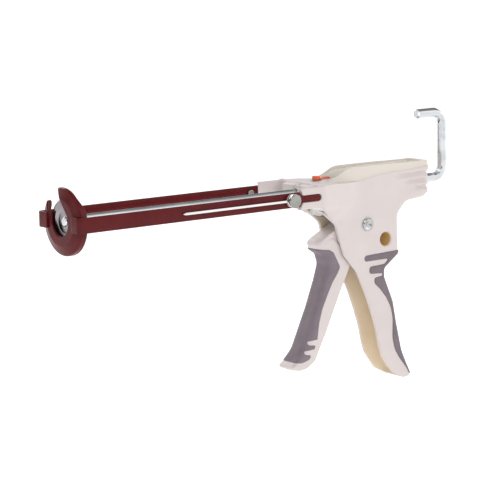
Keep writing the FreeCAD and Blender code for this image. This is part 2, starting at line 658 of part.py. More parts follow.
def spring_seat():
    """The fixed washer between the two springs round the rod."""
    body = new_body("spring_seat")
    seat = rounded([(-9.7, -9.5, 2), (9.7, -9.5, 2), (9.7, 9.0, 2), (-9.7, 9.0, 2)])
    hole = circle(0, 0, 5.0)
    pad(body, sketch(body, "YZ_Plane", "plate", seat, hole, shift=281.5), "2")


# ---------------------------------------------------------------- build

front_plate()
rail("near_rail", near=True)
rail("far_rail", near=False)
rail_studs()
needle_washer()
puncture_needle()
push_rod()
push_plate()
plate_rivet()
plate_washer()
body_housing()
grip_overmould()
guide_bush("front_guide_bush", size("front_wall") - 6.5, 8, "12.5")
guide_bush("rear_guide_bush", size("rear_wall") - 1, 7, "7")
trigger_lever()
trigger_pad()
drive_roller()
cross_pin("roller_pin", size("roller_place"), size("roller_height"), 1.3, "2 * <lever_half_width> - 0.4")
pivot_hardware()
torsion_spring()
jaw("drive_plate", size("drive_plate_back") - size("jaw_steel") / 2, -17, 8.5, 4.72)
coil_spring("drive_spring", 283.6, 21.2, 6, 0.9)
brake_plate()
cross_pin("brake_pin", size("brake_place"), size("brake_pin_height"), size("brake_pin_radius"), "23")
release_tab()
coil_spring("brake_spring", 271.7, 9.6, 3, 0.8)
spring_seat()

doc.recompute()
for obj in doc.Objects:
    if "Invalid" in obj.State or "Error" in obj.State:
        raise RuntimeError(f"{obj.Name} failed: {obj.State}")
os.makedirs("parts", exist_ok=True)
for piece in pieces:
    shape = piece.Shape
    if shape.isNull() or not shape.isValid() or not shape.Solids:
        raise RuntimeError(f"{piece.Label} has no sound solid")
    shape.exportStep(f"parts/{piece.Label}.step")
    print(f"{piece.Label:20s} {len(shape.Solids)} solid(s) {shape.Volume / 1000:8.2f} cm3")
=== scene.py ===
import json
import math
import bmesh
import bpy
import numpy as np
from mathutils import Matrix, Vector


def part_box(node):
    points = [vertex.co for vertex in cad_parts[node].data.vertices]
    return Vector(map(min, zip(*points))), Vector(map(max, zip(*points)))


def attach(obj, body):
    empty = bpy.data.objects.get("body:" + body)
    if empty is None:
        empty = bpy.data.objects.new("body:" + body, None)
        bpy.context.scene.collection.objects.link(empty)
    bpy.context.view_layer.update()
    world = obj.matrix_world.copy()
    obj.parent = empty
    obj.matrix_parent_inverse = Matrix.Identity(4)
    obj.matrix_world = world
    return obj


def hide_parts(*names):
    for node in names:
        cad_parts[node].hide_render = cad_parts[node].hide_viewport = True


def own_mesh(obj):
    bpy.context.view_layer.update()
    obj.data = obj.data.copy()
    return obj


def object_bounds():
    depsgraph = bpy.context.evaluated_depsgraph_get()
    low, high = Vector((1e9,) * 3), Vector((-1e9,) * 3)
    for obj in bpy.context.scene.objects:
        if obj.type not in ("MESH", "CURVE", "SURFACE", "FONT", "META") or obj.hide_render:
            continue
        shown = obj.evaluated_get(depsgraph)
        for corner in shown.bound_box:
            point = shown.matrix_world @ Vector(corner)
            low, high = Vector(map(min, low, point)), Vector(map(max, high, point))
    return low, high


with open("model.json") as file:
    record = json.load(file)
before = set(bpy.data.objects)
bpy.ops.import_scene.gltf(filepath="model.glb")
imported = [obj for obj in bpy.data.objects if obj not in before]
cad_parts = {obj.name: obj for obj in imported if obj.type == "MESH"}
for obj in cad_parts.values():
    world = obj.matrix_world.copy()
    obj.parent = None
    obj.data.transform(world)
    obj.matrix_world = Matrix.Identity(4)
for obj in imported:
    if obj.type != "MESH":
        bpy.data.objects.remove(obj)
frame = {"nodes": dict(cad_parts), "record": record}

cad_low, cad_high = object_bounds()

# The outlines below are side views, in millimetres from the frame's origin: along the gun, then up.
# Lengths that the CAD model fixes are read from its nodes.


def millimetres(node):
    """A CAD node's lowest and highest corners at rest, in millimetres."""
    low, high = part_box(node)
    return low * 1000, high * 1000


# ================================================================ outlines and fields

def rounded(corners, steps=6):
    """A closed outline as points. A corner is (u, v) or (u, v, radius)."""
    points = []
    for i, corner in enumerate(corners):
        here = Vector(corner[:2])
        before = Vector(corners[i - 1][:2]) - here
        after = Vector(corners[(i + 1) % len(corners)][:2]) - here
        radius = corner[2] if len(corner) > 2 else 0
        half = before.angle(after) / 2
        reach = min(radius / math.tan(half), 0.49 * before.length, 0.49 * after.length)
        if reach < 1e-3:
            points.append(here)
            continue
        start, stop = here + before.normalized() * reach, here + after.normalized() * reach
        radius = reach * math.tan(half)
        centre = here + (before.normalized() + after.normalized()).normalized() * radius / math.sin(half)
        first = math.atan2(*(start - centre).yx)
        turn = (math.atan2(*(stop - centre).yx) - first + math.pi) % (2 * math.pi) - math.pi
        angles = [first + turn * k / steps for k in range(steps + 1)]
        points += [centre + radius * Vector((math.cos(a), math.sin(a))) for a in angles]
    return [tuple(p) for p in points]


def outline(points, u, v):
    """Signed distance to a closed outline, negative inside, over a grid of u and v."""
    u, v = np.broadcast_arrays(u, v)
    nearest = np.full(u.shape, np.inf)
    inside = np.zeros(u.shape, bool)
    for (u0, v0), (u1, v1) in zip(points, points[1:] + points[:1]):
        du, dv = u1 - u0, v1 - v0
        if du * du + dv * dv < 1e-12:
            continue
        t = np.clip(((u - u0) * du + (v - v0) * dv) / (du * du + dv * dv), 0, 1)
        nearest = np.minimum(nearest, (u - u0 - t * du) ** 2 + (v - v0 - t * dv) ** 2)
        if v0 != v1:
            inside ^= ((v0 > v) != (v1 > v)) & (u < u0 + (v - v0) * du / dv)
    return np.where(inside, -1, 1) * np.sqrt(nearest)


def both(a, b, soft=0.8):
    """Where both fields are inside, with the edge rounded by about soft."""
    blend = np.maximum(soft - np.abs(a - b), 0) / soft
    return np.maximum(a, b) + blend * blend * soft / 4


def either(a, b, soft=0.8):
    """Where one field or the other is inside, with the inner edge filled by about soft."""
    return -both(-a, -b, soft)


def without(a, b, soft=0.8):
    """Where the first field is inside and the second isn't."""
    return both(a, -b, soft)


def step(low, high, value):
    """A smooth step from 0 at low to 1 at high."""
    t = np.clip((value - low) / (high - low), 0, 1)
    return t * t * (3 - 2 * t)


def eased(points, x, spread=6.0):
    """A smooth curve along the points: straight runs averaged over the spread."""
    xs, ys = zip(*points)
    offsets = np.linspace(-1, 1, 11)
    weights = np.cos(offsets * math.pi / 2) ** 2 + 0.02
    return sum(w * np.interp(x + o * spread, xs, ys) for o, w in zip(offsets, weights)) / weights.sum()


def disc(u, v, centre, radius):
    """Signed distance to a circle."""
    return np.hypot(u - centre[0], v - centre[1]) - radius


def slab(value, low, high):
    """Signed distance to the stretch from low to high."""
    return np.maximum(low - value, value - high)


def surface(field, low, high, cell):
    """Vertices, in millimetres, and quads of the surface where a field is zero.
    There is one vertex in each cell that the surface crosses."""
    axes = [np.arange(a - 2 * cell, b + 3 * cell, cell) for a, b in zip(low, high)]
    x, y, z = (axes[0][:, None, None], axes[1][None, :, None], axes[2][None, None, :])
    value = np.ascontiguousarray(np.broadcast_to(field(x, y, z), [len(a) for a in axes]), np.float32)
    inside = value < 0
    near, far = slice(None, -1), slice(1, None)
    count = np.zeros([n - 1 for n in value.shape], np.int8)
    for a in (near, far):
        for b in (near, far):
            for c in (near, far):
                count += inside[a, b, c]
    crossed = (count > 0) & (count < 8)
    cells = np.stack(np.nonzero(crossed), 1)
    number = np.full(crossed.shape, -1, np.int32)
    number[crossed] = np.arange(len(cells))
    total, hits = np.zeros((len(cells), 3)), np.zeros(len(cells))
    corners = np.array([(a, b, c) for a in (0, 1) for b in (0, 1) for c in (0, 1)])
    for start in corners:
        for axis in range(3):
            if start[axis]:
                continue
            stop = start.copy()
            stop[axis] = 1
            va, vb = value[tuple((cells + start).T)], value[tuple((cells + stop).T)]
            cross = (va < 0) != (vb < 0)
            t = np.where(cross, va / np.where(cross, va - vb, 1), 0)
            total += np.where(cross[:, None], start + t[:, None] * (stop - start), 0)
            hits += cross
    vertices = (cells + total / hits[:, None]) * cell + [a[0] for a in axes]
    quads = []
    for axis in range(3):
        u, v = [(1, 2), (2, 0), (0, 1)][axis]
        lower = [slice(1, -1)] * 3
        upper = [slice(1, -1)] * 3
        lower[axis], upper[axis] = slice(0, -1), slice(1, None)
        flips = inside[tuple(lower)] != inside[tuple(upper)]
        edges = np.stack(np.nonzero(flips), 1)
        edges[:, u] += 1
        edges[:, v] += 1
        ring = []
        for du, dv in ((-1, -1), (0, -1), (0, 0), (-1, 0)):
            place = edges.copy()
            place[:, u] += du
            place[:, v] += dv
            ring.append(number[tuple(place.T)])
        ring = np.stack(ring, 1)
        outward = inside[tuple(edges.T)]
        quads.append(np.where(outward[:, None], ring, ring[:, ::-1]))
    return vertices, np.concatenate(quads)


# ================================================================ meshes

def piece(name, vertices, faces, slot, body, node, sharp=None, look=None):
    """A finished piece in metres, riding on its body in place of its CAD node."""
    mesh = bpy.data.meshes.new(name)
    if isinstance(faces, np.ndarray):
        mesh.vertices.add(len(vertices))
        mesh.vertices.foreach_set("co", (np.asarray(vertices) / 1000).astype(np.float32).ravel())
        mesh.loops.add(faces.size)
        mesh.loops.foreach_set("vertex_index", faces.astype(np.int32).ravel())
        mesh.polygons.add(len(faces))
        mesh.polygons.foreach_set("loop_start", np.arange(0, faces.size, 4, dtype=np.int32))
        mesh.update(calc_edges=True)
        mesh.validate()
    else:
        mesh.from_pydata([tuple(Vector(v) / 1000) for v in vertices], [], faces)
        shape = bmesh.new()
        shape.from_mesh(mesh)
        bmesh.ops.remove_doubles(shape, verts=shape.verts, dist=1e-7)
        bmesh.ops.recalc_face_normals(shape, faces=shape.faces)
        shape.to_mesh(mesh)
        shape.free()
    mesh.shade_smooth()
    if sharp:
        mesh.set_sharp_from_angle(angle=math.radians(sharp))
    mesh.materials.append(look or finishes[slot])
    obj = bpy.data.objects.new(name, mesh)
    bpy.context.scene.collection.objects.link(obj)
    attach(obj, body)
    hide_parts(node)
    return obj


def moulded(name, field, cell, slot, body, node, look=None):
    """A piece whose surface is where the field is zero, found within its CAD node's box."""
    low, high = millimetres(node)
    vertices, quads = surface(field, low, high, cell)
    return piece(name, vertices, quads, slot, body, node, look=look)


def lofted(sections):
    """Vertices and faces through sections of equal length, with flat ends."""
    size = len(sections[0])
    vertices = [p for section in sections for p in section]
    faces = []
    for s in range(len(sections) - 1):
        a, b = s * size, (s + 1) * size
        faces += [(a + i, a + (i + 1) % size, b + (i + 1) % size, b + i) for i in range(size)]
    last = (len(sections) - 1) * size
    faces += [tuple(range(size))[::-1], tuple(range(last, last + size))]
    return vertices, faces


def turned(profile, centre, axis, count=96):
    """A solid of revolution: profile points are (along the axis, radius)."""
    along = Vector(axis).normalized()
    side = along.orthogonal().normalized()
    other = along.cross(side)
    centre = Vector(centre)
    vertices, rings = [], []
    for distance, radius in profile:
        if radius < 1e-4:
            rings.append([len(vertices)] * count)
            vertices.append(centre + along * distance)
            continue
        rings.append(range(len(vertices), len(vertices) + count))
        vertices += [centre + along * distance
                     + radius * (side * math.cos(a) + other * math.sin(a))
                     for a in (2 * math.pi * k / count for k in range(count))]
    faces = []
    for first, second in zip(rings, rings[1:] + rings[:1]):
        for k in range(count):
            n = (k + 1) % count
            corners = list(dict.fromkeys((first[k], first[n], second[n], second[k])))
            if len(corners) > 2:
                faces.append(corners)
    return vertices, faces


def arc(centre, radius, start, stop, steps):
    """Points of a circular arc in the side view, angles in degrees."""
    angles = [math.radians(start + (stop - start) * k / steps) for k in range(steps + 1)]
    return [Vector((centre[0] + radius * math.cos(a), 0, centre[1] + radius * math.sin(a))) for a in angles]


def circle(radius, count):
    """A round section."""
    angles = [2 * math.pi * k / count for k in range(count)]
    return [(radius * math.cos(a), radius * math.sin(a)) for a in angles]


def swept(path, section, across=Vector((0, 1, 0)), scales=None):
    """Sections along a path. A section point is measured along across, then square to it and to the path."""
    sections = []
    for i, point in enumerate(path):
        ahead = (path[min(i + 1, len(path) - 1)] - path[max(i - 1, 0)]).normalized()
        up = ahead.cross(-across)
        scale = scales[i] if scales else 1
        sections.append([point + scale * (across * u + up * v) for u, v in section])
    return sections


# ================================================================ materials

def finish(name, colour, second, roughness, metallic=0.0, grain=0.0, grain_size=1.0, mottle=8.0,
           streak=(1, 1, 1), rough_spread=0.06, coat=0.0, coat_roughness=0.1, sheen=0.0, specular=0.5,
           patch=0.35):
    """A finish whose colour drifts between two close tones, with its own roughness and fine relief.
    mottle and grain_size are the sizes, in millimetres, of the colour drift and of the relief."""
    material = bpy.data.materials.new(name)
    material.use_nodes = True
    nodes, links = material.node_tree.nodes, material.node_tree.links
    shader = nodes["Principled BSDF"]
    place = nodes.new("ShaderNodeTexCoord")
    stretch = nodes.new("ShaderNodeMapping")
    stretch.inputs["Scale"].default_value = streak
    links.new(place.outputs["Object"], stretch.inputs["Vector"])

    def noise(size, detail):
        texture = nodes.new("ShaderNodeTexNoise")
        texture.inputs["Scale"].default_value = 1000 / size
        texture.inputs["Detail"].default_value = detail
        links.new(stretch.outputs["Vector"], texture.inputs["Vector"])
        return texture

    drift = noise(mottle, 4)
    ramp = nodes.new("ShaderNodeValToRGB")
    ramp.color_ramp.elements[0].position = 0.5 - patch / 2
    ramp.color_ramp.elements[1].position = 0.5 + patch / 2
    ramp.color_ramp.elements[0].color = (*second, 1)
    ramp.color_ramp.elements[1].color = (*colour, 1)
    links.new(drift.outputs["Fac"], ramp.inputs["Fac"])
    links.new(ramp.outputs["Color"], shader.inputs["Base Color"])

    wear = noise(mottle * 0.4, 5)
    spread = nodes.new("ShaderNodeMapRange")
    spread.inputs["From Min"].default_value = 0.3
    spread.inputs["From Max"].default_value = 0.7
    spread.inputs["To Min"].default_value = roughness - rough_spread
    spread.inputs["To Max"].default_value = roughness + rough_spread
    links.new(wear.outputs["Fac"], spread.inputs["Value"])
    links.new(spread.outputs["Result"], shader.inputs["Roughness"])

    if grain:
        relief = noise(grain_size, 3)
        bump = nodes.new("ShaderNodeBump")
        bump.inputs["Strength"].default_value = grain
        bump.inputs["Distance"].default_value = 0.0001
        links.new(relief.outputs["Fac"], bump.inputs["Height"])
        links.new(bump.outputs["Normal"], shader.inputs["Normal"])
    shader.inputs["Metallic"].default_value = metallic
    shader.inputs["Specular IOR Level"].default_value = specular
    shader.inputs["Coat Weight"].default_value = coat
    shader.inputs["Coat Roughness"].default_value = coat_roughness
    shader.inputs["Sheen Weight"].default_value = sheen
    return material


FINISHES = {
    "red_steel": dict(colour=(0.112, 0.0075, 0.0095), second=(0.088, 0.0055, 0.007), roughness=0.3,
                      grain=0.04, grain_size=1.6, mottle=14, coat=0.16, coat_roughness=0.05,
                      rough_spread=0.05, specular=0.1),
    "cream_plastic": dict(colour=(0.665, 0.595, 0.585), second=(0.64, 0.57, 0.556), roughness=0.42,
                          grain=0.2, grain_size=0.7, mottle=22, rough_spread=0.05),
    "grey_rubber": dict(colour=(0.196, 0.161, 0.180), second=(0.172, 0.14, 0.158), roughness=0.74,
                        grain=0.45, grain_size=0.55, mottle=9, sheen=0.12, specular=0.3),
    "zinc_steel": dict(colour=(0.69, 0.71, 0.725), second=(0.54, 0.56, 0.58), roughness=0.12,
                       metallic=1.0, grain=0.02, grain_size=0.9, mottle=9, streak=(0.25, 1, 1),
                       rough_spread=0.06, patch=0.3),
    "chrome": dict(colour=(0.82, 0.81, 0.80), second=(0.73, 0.72, 0.71), roughness=0.10, metallic=1.0,
                   grain=0.02, grain_size=2.0, mottle=5, streak=(0.25, 1, 1), rough_spread=0.04),
    "spring_steel": dict(colour=(0.42, 0.41, 0.40), second=(0.30, 0.29, 0.28), roughness=0.34,
                         metallic=1.0, grain=0.12, grain_size=0.5, mottle=3, rough_spread=0.08),
    "hard_steel": dict(colour=(0.58, 0.575, 0.565), second=(0.44, 0.435, 0.425), roughness=0.3,
                       metallic=1.0, grain=0.12, grain_size=0.6, mottle=4, rough_spread=0.08),
    "orange_plastic": dict(colour=(0.80, 0.125, 0.03), second=(0.72, 0.10, 0.022), roughness=0.36,
                           grain=0.15, grain_size=0.6, mottle=6, rough_spread=0.05),
    "nylon": dict(colour=(0.70, 0.68, 0.63), second=(0.62, 0.60, 0.55), roughness=0.5, grain=0.2,
                  grain_size=0.6, mottle=5),
}
finishes = {name: finish(name + "_finish", **look) for name, look in FINISHES.items()}


def variant(name, slot, colour, second, **changes):
    """A slot's finish in another pair of tones, with a few other values changed."""
    return finish(name, **dict(FINISHES[slot], colour=colour, second=second, **changes))


SHELTERED = dict(roughness=0.5, grain=0.22, mottle=18, rough_spread=0.06)
# Painted shade: the cavity's inner faces are the same cream plastic, coloured a darker tan for the shade
# inside.
painted_shade_inner_plastic = variant("cream_plastic_inside_painted_shade", "cream_plastic", (0.80, 0.69, 0.54), (0.76, 0.645, 0.49),
                        **SHELTERED)
# Painted light: the trough's inner faces are the same cream plastic, coloured lighter to look lit though the
# walls shade them.
painted_light_trough_plastic = variant("cream_plastic_trough_painted_light", "cream_plastic", (0.91, 0.87, 0.80), (0.89, 0.845, 0.77),
                         roughness=0.45, rough_spread=0.06)
# Painted light: the upward strip between the ledge and the rim is the same cream plastic, coloured lighter
# and warmer as if lit from above.
painted_light_rim_plastic = variant("cream_plastic_rim_painted_light", "cream_plastic", (0.715, 0.655, 0.59), (0.69, 0.63, 0.56),
                      rough_spread=0.06)
# Painted shade: the side hole's wall is the same cream plastic, coloured a deep golden tan for the shade
# inside the hole.
painted_shade_hole_plastic = variant("cream_plastic_hole_painted_shade", "cream_plastic", (0.66, 0.46, 0.19), (0.58, 0.39, 0.15),
                       **SHELTERED)
# Painted light: the trigger pad is the same rubber as the grip, coloured lighter so that it looks more
# brightly lit.
painted_light_pad_rubber = variant("grey_rubber_pad_painted_light", "grey_rubber", (0.224, 0.184, 0.209), (0.198, 0.162, 0.184))
dull_zinc = variant("zinc_steel_dull", "zinc_steel", (0.37, 0.37, 0.35), (0.30, 0.30, 0.285), roughness=0.26)
# Painted shade: the push disc is the same zinc as the rod, coloured darker to cancel the fill light that
# falls on its face.
painted_shade_disc_zinc = variant("zinc_steel_disc_painted_shade", "zinc_steel", (0.34, 0.32, 0.34), (0.26, 0.245, 0.26), roughness=0.2)
pin_chrome = variant("chrome_pin", "chrome", (0.58, 0.58, 0.58), (0.42, 0.42, 0.42))

slot_of = {part["node"]: part["material_slot"] for part in frame["record"]["subparts"]}
for name, node in frame["nodes"].items():
    for slot in node.material_slots:
        slot.link = "OBJECT"
        slot.material = finishes[slot_of[name]]


# ================================================================ housing

HANDLE_BACK = [(356, -59, 3), (355, -64, 4), (338, -76, 5), (338, -84, 6), (348.3, -107.5, 20),
               (352.4, -128, 30), (358.8, -155, 30), (370.6, -181, 2), (362, -181.8, 2)]
HANDLE_FRONT = [(347.5, -174.2, 6), (335.2, -158, 12), (331.5, -146, 20), (328.3, -132, 30),
                (322.5, -115, 30), (315.5, -97.5, 30), (304.5, -75, 20)]
CHANNEL_BACK = [(333, -76, 4), (333.5, -85, 5), (343, -109, 20), (347, -129, 30), (353.5, -156, 30),
                (362.5, -176.5, 3), (352, -186)]
REAR = 393.0
SIDE = rounded([(252, 26), (REAR, 26), (REAR, -10.5, 2), (387, -14.5, 4), (366, -16.5, 12), (355, -27, 10)]
               + HANDLE_BACK + HANDLE_FRONT
               + [(290, -59, 10), (285.5, -46, 12), (281.5, -30.5, 9), (268, -19.5, 6), (252, -11, 2)])
# The housing's front edge, as (height, place along the gun), for the rounding that grows behind it.
FRONT_EDGE = [(-186, 354), (-174, 347), (-158, 335), (-146, 331.5), (-132, 328.3), (-115, 322.5),
              (-97.5, 315.5), (-75, 304.5), (-59, 290), (-46, 285.5), (-30, 281), (-20, 268), (-11, 252)]
CAVITY = rounded([(258, 6.6), (271, 6.6), (271, 7.9), (275, 7.9), (275, 30), (387.5, 30), (387.5, -9, 2),
                  (363, -12.3, 8), (350.5, -25, 8), (350.5, -61, 4)]
                 + CHANNEL_BACK + [(200, -186), (200, -12), (258, -12)])
CHANNEL = rounded([(200, -46), (349, -46), (349, -61, 4)] + CHANNEL_BACK + [(200, -186)])
LEDGE = [(225, 9.6), (268, 9.6), (284, 8.6), (298, 7.3), (311, 7.4), (322, 9.6), (334, 11), (346, 11.8),
         (370, 12.4), (382, 13.2), (REAR, 14)]
RIM = [(225, 9.6), (268, 9.8), (276, 11), (284, 13.2), (290, 16), (296, 18.8), (302, 20), (330, 20),
       (360, 19.5), (REAR, 19.2)]

# Half widths, measured from the gun's middle plane.
WIDTH, EAR, EAR_INSIDE, RAIL_SEAT, BOSS_WIDTH = 13.8, 31.0, 27.4, 28.7, 21.5
CAVITY_WIDTH, CHANNEL_WIDTH, TAB_SLOT_WIDTH = 9.8, 11.4, 3.1
TROUGH_WIDTH, RIM_SLOPE_WIDTH = 13.4, 2.2
EAR_FRONT, EAR_BACK, EAR_BOTTOM, EAR_TOP = 225, 256, -9.5, 9.6
FLARE = [(EAR_FRONT, EAR), (253, EAR), (307, WIDTH), (400, WIDTH)]
# Each finger wave's height at the rear and where it starts.
WAVES, WAVE_DEPTH, WAVE_LENGTH, WAVE_RISE = ((9.4, 346), (3.0, 357), (-3.4, 367)), 2.1, 15, 0.02
STUD_RELIEF, TONGUE_PLACE, TONGUE_SLOT = 12.6, 247.3, 3.15
SLEEVE_RADIUS, HOLE_MOUTH, HOLE_RADIUS, PIVOT_HOLE = 8.0, 7.2, 6.3, 3.05
ROD_WAY_FRONT, ROD_WAY_REAR = 8.0, 7.0

stud_low, stud_high = millimetres("rail_studs")
stud = Vector(((stud_low.x + stud_high.x) / 2, 0, 0))
bolt_low, bolt_high = millimetres("pivot_bolt")
pivot = ((bolt_low.x + bolt_high.x) / 2, (bolt_low.z + bolt_high.z) / 2)
side_hole = next(mount for mount in frame["record"]["mounts"] if mount["name"] == "side_hole")
hole = (side_hole["pos_m"][0] * 1000, side_hole["pos_m"][2] * 1000)


def half_width(x, z):
    """The housing's outer face: wide beside the rails, then straight, with three finger waves at the rear."""
    flare = eased(FLARE, x, 9) - WIDTH
    width = WIDTH + flare * step(-27, EAR_BOTTOM, z)
    for height, start in WAVES:
        wave = height + (x - REAR) * WAVE_RISE
        depth = WAVE_DEPTH * step(start, start + WAVE_LENGTH, x)
        width = width - depth * step(wave - 4.8, wave - 0.4, z) * step(wave + 0.8, wave - 0.4, z)
    return width


def top_height(x, side):
    """The top of the housing and its slope: a ledge outside, a hollow strip, and the trough's thin rim."""
    ledge, rim = eased(LEDGE, x, 5), eased(RIM, x, 3)
    t = np.clip((TROUGH_WIDTH - side) / RIM_SLOPE_WIDTH, 0, 1)
    return ledge + (rim - ledge) * t * t, 2 * t * (rim - ledge) / RIM_SLOPE_WIDTH


def housing_outside(x, y, z):
    """The outside, with edges that are rounder on the handle and away from its front."""
    side = np.abs(y)
    behind = x - eased(FRONT_EDGE, z, 6)
    soft = 1.6 + 1.9 * step(8, 26, behind) * step(20, 5, z) * step(-186, -165, z)
    return both(outline(SIDE, x, z), (side - half_width(x, z)) * 0.94, soft)


def housing_inside(x, y, z):
    """The space for the mechanism, and the channel down the handle."""
    side = np.abs(y)
    cavity = both(outline(CAVITY, x, z), side - CAVITY_WIDTH, 1.2)
    channel = both(outline(CHANNEL, x, z), side - CHANNEL_WIDTH, 2.5)
    return either(cavity, channel, 1.2)


def housing(x, y, z):
    """The whole moulding: ears, boss and trough, less the ways for the rails, the rod and the pins."""
    side = np.abs(y)
    height, slope = top_height(x, side)
    solid = both(housing_outside(x, y, z), (z - height) / np.sqrt(1 + slope * slope), 0.6)
    ears = both(slab(x, EAR_FRONT, EAR_BACK), slab(z, EAR_BOTTOM, EAR_TOP), 1.6)
    ears = both(ears, slab(side, EAR_INSIDE, EAR), 1.2)
    boss = both(both(slab(x, 246.5, EAR_BACK), slab(z, -9.2, 8.2), 3.0), side - BOSS_WIDTH, 3.0)
    solid = either(either(solid, ears, 2.4), boss, 1.0)
    solid = without(solid, both(disc(x, z, (stud.x, 0), STUD_RELIEF), RAIL_SEAT - side, 0.4), 0.8)
    tongue = both(np.hypot(np.maximum(x - TONGUE_PLACE, 0), z) - TONGUE_SLOT, RAIL_SEAT - side, 0.4)
    solid = without(solid, tongue, 0.5)
    pocket = both(both(side - half_width(x, z) + 3, 14 - side, 1), both(z - 6.6, slab(x, 258, 289), 1), 1)
    solid = without(solid, pocket, 1.0)
    solid = without(solid, housing_inside(x, y, z), 1.0)
    solid = either(solid, both(disc(x, z, hole, SLEEVE_RADIUS), side - WIDTH + 0.1, 0.4), 0.8)
    rod_way = np.where(x < 320, ROD_WAY_FRONT, ROD_WAY_REAR)
    solid = without(solid, np.hypot(y, z) - rod_way, 0.5)
    tab_slot = both(both(slab(x, 264.5, 273.2), side - TAB_SLOT_WIDTH, 1), 5 - z, 0.5)
    solid = without(solid, tab_slot, 0.8)
    solid = without(solid, disc(x, z, pivot, PIVOT_HOLE), 0.4)
    solid = without(solid, both(disc(x, z, hole, HOLE_MOUTH), WIDTH - 0.7 - side, 0.4), 0.5)
    return without(solid, disc(x, z, hole, HOLE_RADIUS), 0.4)


low, high = millimetres("body_housing")
vertices, quads = surface(housing, low, high, 0.55)
shell = piece("housing_shell", vertices, quads, "cream_plastic", "frame", "body_housing")
for extra in (painted_shade_inner_plastic, painted_light_trough_plastic, painted_shade_hole_plastic, painted_light_rim_plastic):
    shell.data.materials.append(extra)
INSIDE, TROUGH, HOLE, STRIP = 1, 2, 3, 4        # the extra materials' places on the shell
NEAR_SURFACE = 0.25
cx, cy, cz = vertices[quads].mean(1).T
side = np.abs(cy)
kind = np.zeros(len(quads), np.int32)
# Painted light: the strip's faces get the lighter, warmer cream.
kind[(cx > 276) & (cz > eased(LEDGE, cx, 5) - 0.15) & (side < 13.5)] = STRIP
# Painted shade: the cavity's inner faces get the darker tan.
inner = housing_inside(cx, cy, cz) < NEAR_SURFACE
# Painted light: the inner faces above 5 mm, in the trough, get the lighter cream instead.
kind[inner] = np.where(cz[inner] > 5, TROUGH, INSIDE)
# Painted shade: the side hole's wall gets the golden tan.
kind[(disc(cx, cz, hole, HOLE_RADIUS) < NEAR_SURFACE) & (side < WIDTH - 1)] = HOLE
shell.data.polygons.foreach_set("material_index", kind)

# The rubber: two bands and a long tail that wrap the back of the handle.
RUBBER = rounded([
    (364, -60.2, 1), (345, -60.8, 8), (314.2, -61.8, 2.8), (314.2, -67.6, 2.8), (343.5, -67.4, 1),
    (338, -71.8, 1.2), (320, -72.4, 3), (320, -79.4, 3), (335.5, -80.3, 0.8), (335.5, -82.4, 0.8),
    (326, -83.4, 2.5), (326, -88.5, 3), (332.5, -94.3, 8), (340, -103, 20), (345.5, -112.5, 20),
    (348, -123, 20), (347.8, -143, 20), (350.8, -154, 20), (356.8, -163, 20), (365.5, -173.5, 20),
    (369.5, -180, 2), (378, -184, 1), (378, -60.2, 1)])
RUBBER_DEPTH, GRIP_SKIN, PAD_SKIN = 1.1, 0.8, 0.55


def grip_rubber(x, y, z):
    """A skin over the handle, within the rubber's outline."""
    outside = housing_outside(x, y, z)
    return both(slab(outside, -RUBBER_DEPTH, GRIP_SKIN), outline(RUBBER, x, z), 1.3)


moulded("grip_rubber", grip_rubber, 0.5, "grey_rubber", "frame", "grip_overmould")


# ================================================================ trigger

TRIGGER_BACK = [(290, -90, 20), (271, -130, 30), (259, -152, 7), (250, -157.5, 8), (242, -159.3, 8),
                (233, -157.5, 2)]
TRIGGER_FRONT = [(232, -154.5, 1.5), (237.5, -150.5, 3), (245.8, -139.5, 12), (261.8, -105, 40),
                 (270.8, -82, 20), (275.6, -67, 8), (272.5, -57.5, 5), (265, -52.6, 3), (262.8, -47, 3),
                 (266, -42.4, 4)]
FINGERS = rounded([(300, -58, 4), (303, -66, 12)] + TRIGGER_BACK + TRIGGER_FRONT + [(281, -43, 3)])
roller_low, roller_high = millimetres("drive_roller")
roller = ((roller_low.x + roller_high.x) / 2, (roller_low.z + roller_high.z) / 2)
ARM = rounded([(roller[0] - 2.6, -9.0, 2.4), (roller[0] + 2.8, -9.0, 2.4), (329, -28, 8), (328, -43, 8),
               (304, -63, 10), (288, -64, 6), (272, -50, 4), (268, -43.5, 2), (286, -34.5, 8),
               (303, -24.5, 8), (roller[0] - 2.6, -17, 4)])
HOLLOW = rounded([(330, -28), (330, -46), (305, -70), (296, -88, 10), (276, -130, 20), (265, -149),
                  (262, -146), (266, -130, 20), (284, -90, 10), (290, -68, 8), (306, -50, 6), (322, -45)])
# The trigger's front edge, as (height, place along the gun), for the rounding that fades behind it.
TRIGGER_LINE = [(-160, 236), (-155, 234), (-150.5, 237.5), (-139.5, 245.8), (-105, 261.8), (-82, 270.8),
                (-67, 275.6), (-57, 272), (-50, 264), (-42, 264)]
FINGER_WIDTH, ARM_WIDTH, FORK_WIDTH, HOLLOW_WIDTH = 10.4, 9.2, 5.2, 6.5      # half widths
HUB_HOLE, ROLLER_PIN_HOLE = 5.05, 1.3


def fingers_outside(x, y, z):
    """The finger part, well rounded in front and crisper behind."""
    side = np.abs(y)
    behind = x - eased(TRIGGER_LINE, z, 5)
    soft = (7.5 - 5.5 * step(5, 15, behind)) * (1 - 0.65 * step(-142, -156, z))
    return both(outline(FINGERS, x, z), side - FINGER_WIDTH, soft)


def trigger(x, y, z):
    """The finger part and the upper arm, forked round the roller and hollow behind."""
    side = np.abs(y)
    upper = both(outline(ARM, x, z), side - ARM_WIDTH, 1.4)
    solid = either(fingers_outside(x, y, z), upper, 1.5)
    fork = both(both(slab(x, 298, 332), slab(z, -41, 0), 0.5), side - FORK_WIDTH, 0.5)
    hollow = both(outline(HOLLOW, x, z), side - HOLLOW_WIDTH, 1.5)
    solid = without(without(solid, fork, 0.6), hollow, 1.0)
    solid = without(solid, disc(x, z, pivot, HUB_HOLE), 0.4)
    return without(solid, disc(x, z, roller, ROLLER_PIN_HOLE), 0.3)


